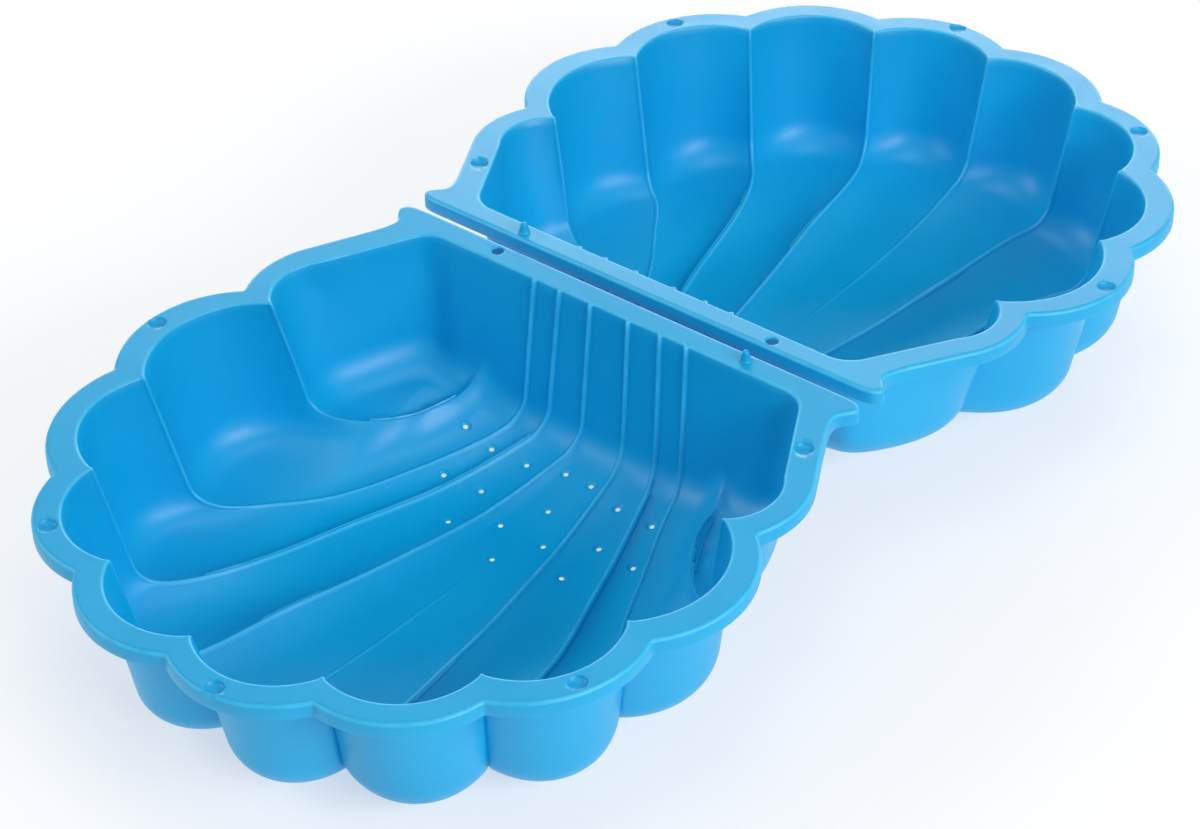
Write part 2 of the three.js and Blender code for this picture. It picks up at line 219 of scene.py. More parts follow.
def lobe_column(lobe, share):
    """The named places of one column across a lobe, from the ridge at share 0 to the next at share 1."""
    floor = []
    for row, table in enumerate(FLOOR_ROWS):
        a, b = table[lobe], table[lobe + 1]
        place = mix(a[:3], b[:3], share)
        if row == 0:
            place[:2] = arc_place(a, b, FOOT_BOW[lobe], share)
        crests = crest_height(row, lobe), crest_height(row, lobe + 1)
        place[2] += crests[0] * ridge_share(share) + crests[1] * ridge_share(1 - share)
        floor.append(place)
    ridge = ridge_share(share) + ridge_share(1 - share)
    tops = mix([RIB_TOPS[lobe]], [RIB_TOPS[lobe + 1]], share)[0]
    edge = mix([BACK_EDGE[lobe]], [BACK_EDGE[lobe + 1]], share)[0]
    return {
        "start": arc_place(INNER_CUSPS[lobe], INNER_CUSPS[lobe + 1], INNER_BOW[lobe], share),
        "outer": arc_place(OUTER_CUSPS[lobe], OUTER_CUSPS[lobe + 1], OUTER_BOW[lobe], share),
        "floor": floor,
        "fillet": HOLLOW_FILLET + (RIDGE_FILLET - HOLLOW_FILLET) * ridge,
        "hinge_fillet": HINGE_FILLET,
        "end": at([tops, HINGE_AWAY]),
        "outer_end": at([edge, EDGE_AWAY]),
        "ridge": ridge,
        "tilt": 1.0,
    }


def corner_column(index):
    """The same across a corner lobe: index is 0 at the very corner, CORNER_STATIONS at the first ridge."""
    share = index / CORNER_STATIONS
    spread = max(0.0, (index - CORNER_TURN_STATIONS) / (CORNER_STATIONS - CORNER_TURN_STATIONS))
    ridge = ridge_share(1 - share)
    floor = []
    for row, table in enumerate(FLOOR_ROWS):
        across, away, hollow = table[0][:3]
        floor.append(mix(CORNER_FOOT, [across, away, hollow + crest_height(row, 0) * ridge], share))
    foot_share = float(np.interp(index, range(CORNER_STATIONS + 1), CORNER_FOOT_SHARES))
    floor[0][:2] = arc_place(CORNER_FOOT, FLOOR_ROWS[0][0], CORNER_FOOT_BOW, foot_share)
    if index <= CORNER_TURN_STATIONS:
        start, end = corner_place(0.5 + 0.25 * index), corner_place(0.5 - 0.25 * index)
        outer = mix(EAR[0], EAR[1], index) if index <= 1 else mix(EAR[1], EAR[2], index - 1)
        outer_end = mix(EAR[0], EAR_BACK, index) if index <= 1 else mix(EAR_BACK, EAR_ROOT, index - 1)
    else:
        end = mix([CORNER_CENTRE[0], HINGE_AWAY], [RIB_TOPS[0], HINGE_AWAY], spread)
        outer_end = mix(EAR_ROOT, [BACK_EDGE[0], EDGE_AWAY], spread)
        if index <= CORNER_SIDE_STATION:
            along_side = (index - CORNER_TURN_STATIONS) / (CORNER_SIDE_STATION - CORNER_TURN_STATIONS)
            start = mix(corner_place(1), SIDE_END, along_side)
            outer = mix(EAR[2], OUTER_SIDE_END, along_side)
        else:
            along_arc = (index - CORNER_SIDE_STATION) / (CORNER_STATIONS - CORNER_SIDE_STATION)
            start = arc_place(SIDE_END, INNER_CUSPS[0], CORNER_BOW, along_arc)
            outer = arc_place(OUTER_SIDE_END, OUTER_CUSPS[0], CORNER_OUTER_BOW, along_arc)
    from_corner = min(1.0, share * 2)
    return {
        "start": start,
        "outer": outer,
        "floor": floor,
        "fillet": CORNER_FILLET + (RIDGE_FILLET - CORNER_FILLET) * ridge,
        "hinge_fillet": CORNER_FILLET + (HINGE_FILLET - CORNER_FILLET) * min(1.0, share * 3),
        "end": end,
        "outer_end": outer_end,
        "ridge": ridge,
        "tilt": from_corner ** 2 * (3 - 2 * from_corner),
    }


def mirrored(column):
    """The same column on the other half of the tray."""
    def flip(place):
        out = np.array(place)
        out[0] = -out[0]
        return out
    other = dict(column)
    for key in ("start", "outer", "end", "outer_end"):
        other[key] = flip(column[key])
    other["floor"] = [flip(place) for place in column["floor"]]
    return other


def spaced(steps, gather):
    """Shares from 0 to just under 1, closer together at both ends."""
    x = np.arange(steps) / steps
    return (1 - gather) * x + gather * (0.5 - 0.5 * np.cos(np.pi * x))


def all_columns():
    half = [corner_column(CORNER_STATIONS * share) for share in spaced(CORNER_COLUMNS, CORNER_GATHER)]
    lobes = len(INNER_BOW)
    for lobe in range(lobes):
        half += [lobe_column(lobe, share) for share in spaced(LOBE_COLUMNS, LOBE_GATHER)]
    return half + [lobe_column(lobes - 1, 1.0)] + [mirrored(column) for column in reversed(half)]


def wall_section(rim, foot, fillet, fall):
    """Places from the rim down a drafted wall and a fillet, to a floor that falls by `fall` at the foot."""
    reach = np.hypot(*(foot[:2] - rim))
    top = rim_height(rim[1])
    radius = min(fillet, FILLET_LIMIT * reach)
    tilt = math.atan(fall)
    centre = np.array([reach + radius * math.sin(tilt), foot[2] + radius * math.cos(tilt) - top])
    distance = np.hypot(*centre)
    draft = math.acos(min(1.0, radius / distance)) - math.atan2(-centre[1], centre[0])
    last = math.pi / 2 - tilt
    first = centre - radius * np.array([math.cos(draft), math.sin(draft)])
    section = [first * step / WALL_STEPS for step in range(WALL_STEPS)]
    for step in range(FILLET_STEPS + 1):
        angle = draft + (last - draft) * step / FILLET_STEPS
        section.append(centre - radius * np.array([math.cos(angle), math.sin(angle)]))
    way = (foot[:2] - rim) / reach
    return [np.array([*(rim + way * inward), top + down]) for inward, down in section]


FLOOR_SHARES = np.concatenate([
    np.linspace(0, 0.5, FLOOR_FAR_STEPS, endpoint=False)[1:],
    np.linspace(0.5, 1, FLOOR_NEAR_STEPS, endpoint=False),
])


def floor_line(points, first_way, last_way, first_slope, last_slope):
    """A smooth line over the floor: its plan follows the points, its height never overshoots them."""
    chord = [max(1e-6, np.hypot(*(b[:2] - a[:2]))) for a, b in zip(points, points[1:])]
    along = np.concatenate([[0], np.cumsum(chord)])
    height = np.array([point[2] for point in points])
    secant = np.diff(height) / chord
    slope = np.zeros(len(points))
    for i in range(1, len(points) - 1):
        if secant[i - 1] * secant[i] > 0:
            slope[i] = 2 * secant[i - 1] * secant[i] / (secant[i - 1] + secant[i])
    slope[0], slope[-1] = first_slope, last_slope
    plan = np.array([point[:2] for point in points])
    way = np.zeros((len(points), 2))
    for i in range(1, len(points) - 1):
        way[i] = (plan[i + 1] - plan[i - 1]) / (along[i + 1] - along[i - 1])
    way[0], way[-1] = first_way * WALL_PULL, last_way * WALL_PULL
    out = []
    for share in FLOOR_SHARES:
        where = share * along[-1]
        i = min(len(chord) - 1, int(np.searchsorted(along, where, side="right")) - 1)
        t = (where - along[i]) / chord[i]
        h00, h10 = 2 * t**3 - 3 * t**2 + 1, t**3 - 2 * t**2 + t
        h01, h11 = 3 * t**2 - 2 * t**3, t**3 - t**2
        xy = h00 * plan[i] + h10 * chord[i] * way[i] + h01 * plan[i + 1] + h11 * chord[i] * way[i + 1]
        z = h00 * height[i] + h10 * chord[i] * slope[i] + h01 * height[i + 1] + h11 * chord[i] * slope[i + 1]
        out.append(np.array([xy[0], xy[1], z]))
    return out


def floor_slope(foot, beside):
    """The floor's slope up to the foot of a wall, within what the fillet there can take."""
    gap = max(1e-6, np.hypot(*(foot[:2] - beside[:2])))
    return float(np.clip((foot[2] - beside[2]) / gap * FOOT_STEEPER, *FOOT_SLOPES))


def column_places(column):
    """A column's places from the curved rim down the wall, over the floor and up to the straight rim."""
    floor = column["floor"]
    fall = floor_slope(floor[0], floor[1]) * column["tilt"]
    rise = floor_slope(floor[4], floor[3]) * column["tilt"]
    curved = wall_section(column["start"], floor[0], column["fillet"], fall)
    straight = wall_section(column["end"], floor[4], column["hinge_fillet"], rise)[::-1]
    first_way = (floor[0][:2] - column["start"]) / np.hypot(*(floor[0][:2] - column["start"]))
    last_way = (column["end"] - floor[4][:2]) / np.hypot(*(column["end"] - floor[4][:2]))
    return curved + floor_line(floor, first_way, last_way, -fall, rise) + straight


def inside_grid(columns):
    """The inside's places, [column, row]. The outermost columns fold back on themselves at the corners."""
    places = [column_places(column) for column in columns]
    half = WALL_STEPS + FILLET_STEPS + 1
    for column in (places[0], places[-1]):
        rows = len(column)
        for row in range(half, rows - half):
            column[row] = column[half - 1]
        for row in range(half):
            column[rows - 1 - row] = column[row]
    return np.array(places)


def rounded_ridges(grid, columns):
    """Rounds the grid's ridges by averaging along each row, more often on the floor than on the walls."""
    rows = grid.shape[1]
    half = WALL_STEPS + FILLET_STEPS + 1
    turns = np.full(rows, float(RIDGE_ROUND_TURNS["floor"]))
    down = np.clip(np.linspace(0, 1, half) * 2, 0, 1)
    turns[:half] = RIDGE_ROUND_TURNS["rim"] + (RIDGE_ROUND_TURNS["floor"] - RIDGE_ROUND_TURNS["rim"]) * down
    turns[rows - half:] = RIDGE_ROUND_TURNS["hinge_wall"]
    weight = np.clip(np.array([column["ridge"] for column in columns]) * RIDGE_ROUND_SPREAD, 0, 1)
    weight[[0, -1]] = 0
    out = grid.copy()
    for turn in range(RIDGE_ROUND_TURNS["floor"]):
        share = weight[1:-1, None] * np.clip(turns - turn, 0, 1)
        middle = (out[:-2] + out[2:]) / 2 - out[1:-1]
        out[1:-1] += 0.5 * share[..., None] * middle
    return out


def sheet_normals(grid):
    """Unit normals of the grid, pointing into the hollow of the tray."""
    count = len(grid)
    normal = np.cross(np.gradient(grid, axis=0), np.gradient(grid, axis=1))
    normal = normal / np.maximum(np.linalg.norm(normal, axis=2), 1e-9)[..., None]
    inward = np.array([0, 350.0, 150.0]) - grid
    flip = np.sign((normal * inward).sum(2))
    normal *= np.where(flip == 0, 1, flip)[..., None]
    for column, neighbour in ((0, 1), (count - 1, count - 2)):
        normal[column] = normal[neighbour] + normal[neighbour][::-1]
        normal[column] /= np.maximum(1e-9, np.linalg.norm(normal[column], axis=1))[:, None]
    return normal


def beaded(grid):
    """Raises a narrow bead along every ridge column, and says how far each place was raised."""
    count, rows = grid.shape[:2]
    normal = sheet_normals(grid)
    curved = WALL_STEPS + FILLET_STEPS
    marks = [0, curved]
    marks += [curved + 1 + int(np.searchsorted(FLOOR_SHARES, share)) for share in BEAD_FLOOR_SHARES]
    marks += [rows - 1 - curved, rows - 1 - WALL_STEPS, rows - 1]
    raised = np.zeros((count, rows))
    ridges = 2 * len(BEAD_HEIGHTS) - 1
    for ridge in range(ridges):
        column = CORNER_COLUMNS + ridge * LOBE_COLUMNS
        heights = np.interp(np.arange(rows), marks, BEAD_HEIGHTS[min(ridge, ridges - 1 - ridge)])
        for way in (1, -1):
            distance = np.zeros(rows)
            place = column
            while distance.min() < BEAD_HALF_WIDTH and 0 < place < count - 1:
                share = np.clip(distance / BEAD_HALF_WIDTH, 0, 1)
                bump = heights * (0.5 + 0.5 * np.cos(math.pi * share))
                raised[place] = np.maximum(raised[place], bump)
                distance += np.linalg.norm(grid[place + way] - grid[place], axis=1)
                place += way
    return grid + normal * raised[..., None], raised


def loop_normals(loop):
    """Unit plan normals of a closed outline, pointing out of it."""
    way = np.roll(loop, -1, 0) - np.roll(loop, 1, 0)
    normal = np.stack([way[:, 1], -way[:, 0]], 1)
    return normal / np.maximum(1e-9, np.linalg.norm(normal, axis=1))[:, None]


def softened_corner(grid):
    """Blends the corner pocket's walls and floor into one soft bowl, by averaging across its columns."""
    rows = grid.shape[1]
    reach = int(CORNER_COLUMNS * CORNER_SOFT_REACH)
    half = WALL_STEPS + FILLET_STEPS + 1
    fade = np.clip(1.3 * (1 - np.arange(reach) / reach), 0, 1)[:, None]
    row = np.minimum(np.arange(rows), np.arange(rows)[::-1])
    weight = (fade * np.clip((row - 3) / 8, 0, 1)[None, :])[..., None]
    work = grid[:reach + 1].copy()
    for turn in range(CORNER_SOFT_TURNS):
        before = np.concatenate([work[1:2, ::-1], work[:reach - 1]])
        across = (before + work[1:reach + 1]) / 2 - work[:reach]
        work[:reach] += 0.5 * weight * across
        work[0, half:rows - half] = work[0, half - 1]
        work[0, rows - half:] = work[0, :half][::-1]
    out = grid.copy()
    out[:reach] = work[:reach]
    out[len(grid) - reach:] = work[:reach][::-1] * np.array([-1, 1, 1])
    return out


def melted_ridge_end(grid):
    """Melts the end of each outermost ridge into the foot of the hinge wall.

    The sheet near the end is taken as a height along `leaning`, between the wall's and the floor's
    normals. Each height becomes the average of those around it, with Gaussian weights.
    """
    count, rows = grid.shape[:2]
    out = grid.copy()
    area = np.linalg.norm(np.cross(np.gradient(grid, axis=0), np.gradient(grid, axis=1)), axis=2)
    leaning = np.array([0, math.sqrt(0.5), math.sqrt(0.5)])
    for away, reach, blur in MELTED_ENDS:
        hinge_half = out[CORNER_COLUMNS, rows // 2:]
        end = hinge_half[np.argmin(np.abs(hinge_half[:, 1] - away))]
        distance = np.linalg.norm(out[:count // 2] - end, axis=2)
        near = distance < reach + 2.5 * blur
        places, share = out[:count // 2][near], area[:count // 2][near]
        height = places @ leaning
        flat = places - height[:, None] * leaning
        moved = np.zeros(len(places))
        for first in range(0, len(places), BATCH):
            part = slice(first, first + BATCH)
            apart = ((flat[part, None] - flat[None]) ** 2).sum(2)
            weight = np.exp(-apart / (2 * blur * blur)) * share
            moved[part] = (weight @ height) / weight.sum(1) - height[part]
        fade = np.clip(1.4 * (1 - distance[near] / reach), 0, 1)
        fade = fade * fade * (3 - 2 * fade)
        half = out[:count // 2]
        half[near] = places + (fade * moved)[:, None] * leaning
        out[count - count // 2:] = half[::-1] * np.array([-1, 1, 1])
    return out


def soft_first_ridge(grid):
    """Rounds the crest of each outermost ridge between the wall and the hinge fillet."""
    count, rows = grid.shape[:2]
    column = np.arange(count)
    from_ridge = np.minimum(np.abs(column - CORNER_COLUMNS), np.abs(column - (count - 1 - CORNER_COLUMNS)))
    across = np.clip(1.2 - from_ridge / FIRST_RIDGE_SOFT_COLUMNS, 0, 1)
    row = np.arange(rows)
    along = np.clip((row - WALL_STEPS * 0.6) / 8, 0, 1) * np.clip((rows - 1 - WALL_STEPS - row) / 8, 0, 1)
    weight = (across[:, None] * along[None, :])[1:-1, :, None]
    out = grid.copy()
    for turn in range(FIRST_RIDGE_SOFT_TURNS):
        out[1:-1] += 0.5 * weight * ((out[:-2] + out[2:]) / 2 - out[1:-1])
    return out


def tray_sheets(columns):
    """The inside of one tray, the outside, the inside's normals, and how far its beads are raised."""
    grid = rounded_ridges(inside_grid(columns), columns)
    grid = melted_ridge_end(softened_corner(grid))
    grid, raised = beaded(soft_first_ridge(grid))
    grid[..., 2] = np.maximum(grid[..., 2], WALL)
    # The outside: the inside moved by the wall's thickness along its normals.
    normal = sheet_normals(grid)
    outside = grid - normal * WALL
    outside[..., 2] = np.maximum(outside[..., 2], 0)
    return grid, outside, normal, raised


def rim_outlines(columns, grid, order):
    """Plan outlines of the rim, inner and outer, with their outward normals."""
    last = len(columns) - 1
    inner = np.array([grid[c, r, :2] for c, r in order])
    outer = np.array([columns[c]["outer"] if r == 0 else columns[c]["outer_end"] for c, r in order])
    ridge = np.array([columns[c]["ridge"] for c, r in order])
    near_ear = np.array([float(min(c, last - c) < CORNER_COLUMNS * EAR_SHARE) for c, r in order])
    for turn in range(EAR_ROUND_TURNS):
        weight = np.clip(ridge * 2 * (turn < CUSP_ROUND_TURNS) + near_ear, 0, 1)
        outer += 0.5 * weight[:, None] * ((np.roll(outer, 1, 0) + np.roll(outer, -1, 0)) / 2 - outer)
    inner_normal, outer_normal = loop_normals(inner), loop_normals(outer)
    for turn in range(INNER_NORMAL_TURNS):
        inner_normal = inner_normal + np.roll(inner_normal, 1, 0) + np.roll(inner_normal, -1, 0)
        inner_normal /= np.linalg.norm(inner_normal, axis=1)[:, None]
    return inner, inner_normal, outer, outer_normal


def rim_rings(inner, inner_normal, outer, outer_normal):
    """Closed rings from the rim's inner edge over its top, down the lip and back underneath."""
    def ring(plan, below):
        return np.column_stack([plan, rim_height(plan[:, 1]) - below])

    def inset(distance):
        return outer - outer_normal * distance

    rings = []
    for angle in np.linspace(math.pi / 2, 0, INNER_RINGS + 1)[1:]:
        plan = inner + inner_normal * INNER_ROUND * (1 - math.sin(angle))
        rings.append(ring(plan, INNER_ROUND * (1 - math.cos(angle))))
    flat_from, flat_to = inner + inner_normal * INNER_ROUND, inset(EDGE_ROUND)
    for share in np.linspace(0, 1, TOP_RINGS + 1)[1:]:
        rings.append(ring(flat_from + (flat_to - flat_from) * share, 0))
    for angle in np.linspace(0, math.pi / 2, EDGE_RINGS + 1)[1:]:
        rings.append(ring(inset(EDGE_ROUND * (1 - math.sin(angle))), EDGE_ROUND * (1 - math.cos(angle))))
    rings.append(ring(outer, LIP_MIDDLE))
    rings.append(ring(outer, LIP_DROP - LIP_ROUND))
    for angle in np.linspace(0, math.pi, LIP_RINGS + 1)[1:]:
        below = LIP_DROP - LIP_ROUND + LIP_ROUND * math.sin(angle)
        rings.append(ring(inset((WALL / 2) * (1 - math.cos(angle))), below))
    inside_round = EDGE_ROUND - WALL
    for angle in np.linspace(math.pi / 2, 0, UNDER_EDGE_RINGS):
        plan = inset(EDGE_ROUND - inside_round * math.sin(angle))
        rings.append(ring(plan, EDGE_ROUND - inside_round * math.cos(angle)))
    under_from, under_to = inset(EDGE_ROUND), inner + inner_normal * (WALL + UNDER_ROUND)
    for share in np.linspace(0, 1, UNDER_RINGS + 1)[1:]:
        rings.append(ring(under_from + (under_to - under_from) * share, WALL))
    return rings


def quads(at_grid, turned_over):
    """The faces of a grid of vertex numbers."""
    a, b, c, d = at_grid[:-1, :-1], at_grid[1:, :-1], at_grid[1:, 1:], at_grid[:-1, 1:]
    corners = [a, d, c, b] if turned_over else [a, b, c, d]
    return np.stack(corners, 2).reshape(-1, 4)


def tray_arrays():
    """One tray (mm, cover side) as a closed sheet: vertices, quads and painted highlight, and its inside and
    normals.
    """
    columns = all_columns()
    grid, outside, normal, raised = tray_sheets(columns)
    count, rows = grid.shape[:2]
    # Once round the rim: the curved side, then back along the straight side.
    order = [(c, 0) for c in range(count)] + [(c, rows - 1) for c in range(count - 2, 0, -1)]
    outlines = rim_outlines(columns, grid, order)
    rings = rim_rings(*outlines)

    # The wall's top rows give way to the rounded inner edge of the rim.
    inner, inner_normal = outlines[:2]
    for position, (c, r) in enumerate(order):
        top, below = grid[c, r], grid[c, r + (1 if r == 0 else -1)]
        grid[c, r] = top + (below - top) * (INNER_ROUND / max(INNER_ROUND, top[2] - below[2]))
        plan = inner[position] + inner_normal[position] * (WALL + UNDER_SETBACK)
        outside[c, r] = [*plan, rim_height(inner[position][1]) - WALL - UNDER_ROUND]
    for sheet in (grid, outside):
        sheet[0, -1], sheet[-1, -1] = sheet[0, 0], sheet[-1, 0]

    inside_at = np.arange(count * rows).reshape(count, rows)
    outside_at = inside_at + count * rows
    vertices = [grid.reshape(-1, 3), outside.reshape(-1, 3), *rings]
    # The painted highlight: a pale light line on each bead, by its height, and on the rim's rounded edges.
    painted_highlight = [np.clip(raised / BEAD_FULL_HIGHLIGHT, 0, 1).ravel(), np.zeros(count * rows)]
    painted_highlight += [np.full(len(order), RIM_HIGHLIGHT.get(index, 0.0)) for index in range(len(rings))]
    loops = [np.array([inside_at[c, r] for c, r in order])]
    loops += [np.arange(len(order)) + 2 * count * rows + index * len(order) for index in range(len(rings))]
    loops.append(np.array([outside_at[c, r] for c, r in order]))
    faces = [quads(inside_at, False), quads(outside_at, True)]
    for first, second in zip(loops, loops[1:]):
        faces.append(np.stack([first, second, np.roll(second, -1), np.roll(first, -1)], 1))
    sheet_places = grid.reshape(-1, 3), normal.reshape(-1, 3)
    return np.concatenate(vertices), np.concatenate(faces), np.concatenate(painted_highlight), *sheet_places


def mesh_object(name, vertices, faces, painted_highlight):
    """An object from places in millimetres, with its painted highlight kept on the points."""
    mesh = bpy.data.meshes.new(name)
    mesh.from_pydata([tuple(v) for v in vertices * MM], [], [tuple(int(i) for i in f) for f in faces])
    mesh.attributes.new("painted_highlight", "FLOAT", "POINT").data.foreach_set("value", painted_highlight.astype(np.float32))
    work = bmesh.new()
    work.from_mesh(mesh)
    bmesh.ops.remove_doubles(work, verts=work.verts, dist=2e-6)
    bmesh.ops.dissolve_degenerate(work, edges=work.edges, dist=1e-7)
    bmesh.ops.recalc_face_normals(work, faces=work.faces)
    work.to_mesh(mesh)
    work.free()
    thing = bpy.data.objects.new(name, mesh)
    bpy.context.scene.collection.objects.link(thing)
    return thing


def lathe_arrays(profile, sides):
    """A turned body about Z from (radius, height) pairs that start and end on the axis."""
    vertices = [[0, 0, profile[0][1]]]
    for radius, height in profile[1:-1]:
        for side in range(sides):
            angle = 2 * math.pi * side / sides
            vertices.append([radius * math.cos(angle), radius * math.sin(angle), height])
    vertices.append([0, 0, profile[-1][1]])
    faces = []
    for side in range(sides):
        following = (side + 1) % sides
        faces.append((0, 1 + following, 1 + side))
        for ring in range(len(profile) - 3):
            first = 1 + ring * sides
            faces.append((first + side, first + following, first + sides + following, first + sides + side))
        last = 1 + (len(profile) - 3) * sides
        faces.append((last + side, last + following, len(vertices) - 1))
    return np.array(vertices, float), faces


def turned(name, profile, sides, placing):
    """A turned body as an object, set in its place."""
    vertices, faces = lathe_arrays(profile, sides)
    mesh = bpy.data.meshes.new(name)
    mesh.from_pydata([tuple(v) for v in vertices * MM], [], faces)
    mesh.transform(placing)
    mesh.update()
    thing = bpy.data.objects.new(name, mesh)
    bpy.context.scene.collection.objects.link(thing)
    return thing


RIM_TILT = Matrix.Rotation(-math.atan(RIM_SLOPE), 4, "X")


def rim_placing(across, away):
    return Matrix.Translation((across * MM, away * MM, rim_height(away) * MM)) @ RIM_TILT


def combine(thing, other, operation):
    """Joins the other's bodies to the thing, or cuts them out of it, and applies the result."""
    modifier = thing.modifiers.new("combine", "BOOLEAN")
    modifier.operation = operation
    modifier.solver = "EXACT"
    modifier.object = other
    graph = bpy.context.evaluated_depsgraph_get()
    result = bpy.data.meshes.new_from_object(thing.evaluated_get(graph))
    thing.modifiers.clear()
    thing.data = result
    bpy.data.objects.remove(other)


def joined(name, things):
    """One object with every thing's bodies in it, in place of the things."""
    work = bmesh.new()
    for thing in things:
        work.from_mesh(thing.data)
        bpy.data.objects.remove(thing)
    mesh = bpy.data.meshes.new(name)
    work.to_mesh(mesh)
    work.free()
    thing = bpy.data.objects.new(name, mesh)
    bpy.context.scene.collection.objects.link(thing)
    return thing


SHARP_FROM = 58  # degrees between two faces: less than this is shaded smooth


def smooth(thing, degrees):
    thing.data.shade_smooth()
    thing.data.set_sharp_from_angle(angle=math.radians(degrees))


HALF_TURN = Matrix.Rotation(math.pi, 4, "Z")
# Turned bodies, as (radius, height) from the rim's or the floor's surface, millimetres.
PEG_PROFILE = [
    [0, 0.3], [7.5, 0.3], [7.5, 0.8], [7.1, 1.3], [6.6, 1.6], [6.2, 2.2], [5.9, 3.2], [5.4, 6],
    [4.7, 9], [4.2, 11.2], [3.8, 12.4], [3.1, 13.4], [2.2, 14.1], [1.1, 14.45], [0, 14.5],
]
PEG_SIDES, HOLE_SIDES, DIMPLE_SIDES, DRAIN_SIDES = 48, 40, 48, 28
PEG_HOLE = [[0, -20], [7.5, -20], [7.5, -0.9], [8.4, 0.0], [8.4, 20], [0, 20]]
# The shallow round dimple in the rim, and the boss under it that keeps the wall's thickness.
DIMPLE = [
    [0, -4.3], [5.0, -4.3], [7.6, -4.0], [9.4, -3.0], [10.5, -1.5], [10.9, -0.4], [11.7, 0.4],
    [11.7, 4], [0, 4],
]
DIMPLE_BOSS = [[0, -7.2], [8.0, -7.2], [11.0, -6.4], [12.8, -4.6], [13.4, -2.2], [13.4, -1.2], [0, -1.2]]
# The drain hole and the dished way into it, from the inside of the floor.
DRAIN = [
    [0, -60], [3.0, -60], [3.0, -1.9], [4.6, -1.8], [5.9, -1.1], [6.6, -0.3], [7.6, 0.5],
    [7.6, 3], [0, 3],
]
DRAINED_BELOW = 60  # drains lie on the floor, never this high on a wall


def build_tray(name, with_drains):
    """One tray on the cover's side, with its dimples, peg hole and, if asked for, drain holes."""
    vertices, faces, painted_highlight, inside, normals = tray_arrays()
    tray = mesh_object(name, vertices, faces, painted_highlight)
    bosses = [turned("boss", DIMPLE_BOSS, HOLE_SIDES, rim_placing(*place)) for place in RIM_DIMPLES]
    combine(tray, joined("bosses", bosses), "UNION")
    cutters = [turned("peg_hole_cutter", PEG_HOLE, HOLE_SIDES, rim_placing(PEG_ACROSS, PEG_AWAY))]
    cutters += [turned("dimple_cutter", DIMPLE, DIMPLE_SIDES, rim_placing(*place)) for place in RIM_DIMPLES]
    if with_drains:
        for across, away in DRAIN_PAIRS + [[-x, y] for x, y in DRAIN_PAIRS] + LONE_DRAINS:
            distance = np.hypot(inside[:, 0] - across, inside[:, 1] - away)
            nearest = int(np.argmin(distance + (inside[:, 2] > DRAINED_BELOW) * 1e3))
            turn = Vector((0, 0, 1)).rotation_difference(Vector(normals[nearest])).to_matrix().to_4x4()
            placing = Matrix.Translation(Vector(inside[nearest] * MM)) @ turn
            cutters.append(turned("drain_cutter", DRAIN, DRAIN_SIDES, placing))
    combine(tray, joined("cutters", cutters), "DIFFERENCE")
    return tray


base = build_tray("base_moulding", True)
base.data.transform(HALF_TURN)
cover = build_tray("cover_moulding", False)
pegs = []
for name, turn in (("base_locating_peg", HALF_TURN), ("cover_locating_peg", Matrix.Identity(4))):
    pegs.append(turned(name, PEG_PROFILE, PEG_SIDES, turn @ rim_placing(-PEG_ACROSS, PEG_AWAY)))



def kept_in_box(thing, low, high):
    places = np.empty(len(thing.data.vertices) * 3)
    thing.data.vertices.foreach_get("co", places)
    places = np.clip(places.reshape(-1, 3), low, high)
    thing.data.vertices.foreach_set("co", places.ravel())
    thing.data.update()


# Nothing stands outside the CAD box.
for piece in (base, cover, *pegs):
    kept_in_box(piece, *np.array(cad_box))


